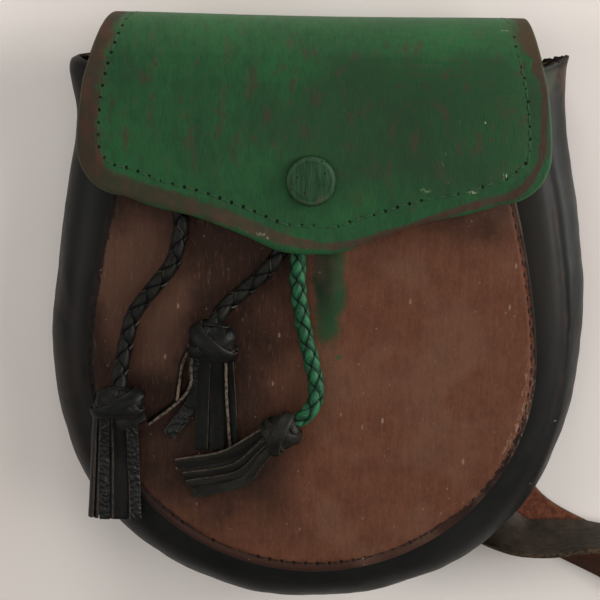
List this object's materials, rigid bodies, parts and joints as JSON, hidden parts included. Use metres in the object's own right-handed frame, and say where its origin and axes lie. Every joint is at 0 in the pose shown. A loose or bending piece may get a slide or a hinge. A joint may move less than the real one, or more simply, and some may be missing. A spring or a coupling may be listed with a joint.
{
  "type": "sporran pouch",
  "caption": "Leather pouch worn at the waist, with a snap flap over a deep rounded gusset, braided tassels on the front and a carrying strap.",
  "frame": {"origin": "the flat underside of the strap, below the middle of the back, on the surface that the pouch lies on", "axes": "+Z out of the front, +Y towards the flap's fold, +X to the right as seen from the front"},
  "size_m": [0.379, 0.2489, 0.0589],
  "materials": {
    "panel_leather": "brushed brown, worn",
    "gusset_leather": "smooth black, scuffed",
    "flap_leather": "green paint brushed over brown, rubbed at the edges",
    "stud_paint": "brushed green paint",
    "snap_metal": "dull, aged",
    "braid_black": "black braided thong",
    "braid_green": "green braided thong",
    "tassel_leather": "black, with paler cut edges",
    "strap_leather": "dark grain side, rust flesh side"
  },
  "bodies": {
    "root": {"front_panel": "panel_leather", "back_panel": "panel_leather", "gusset": "gusset_leather", "flap": "flap_leather", "snap_stud": "stud_paint", "snap_base": "snap_metal", "braid_left": "braid_black", "braid_middle": "braid_black", "braid_right": "braid_green", "tassel_left": "tassel_leather", "tassel_middle": "tassel_leather", "tassel_right": "tassel_leather", "strap": "strap_leather"}
  },
  "joints": []
}
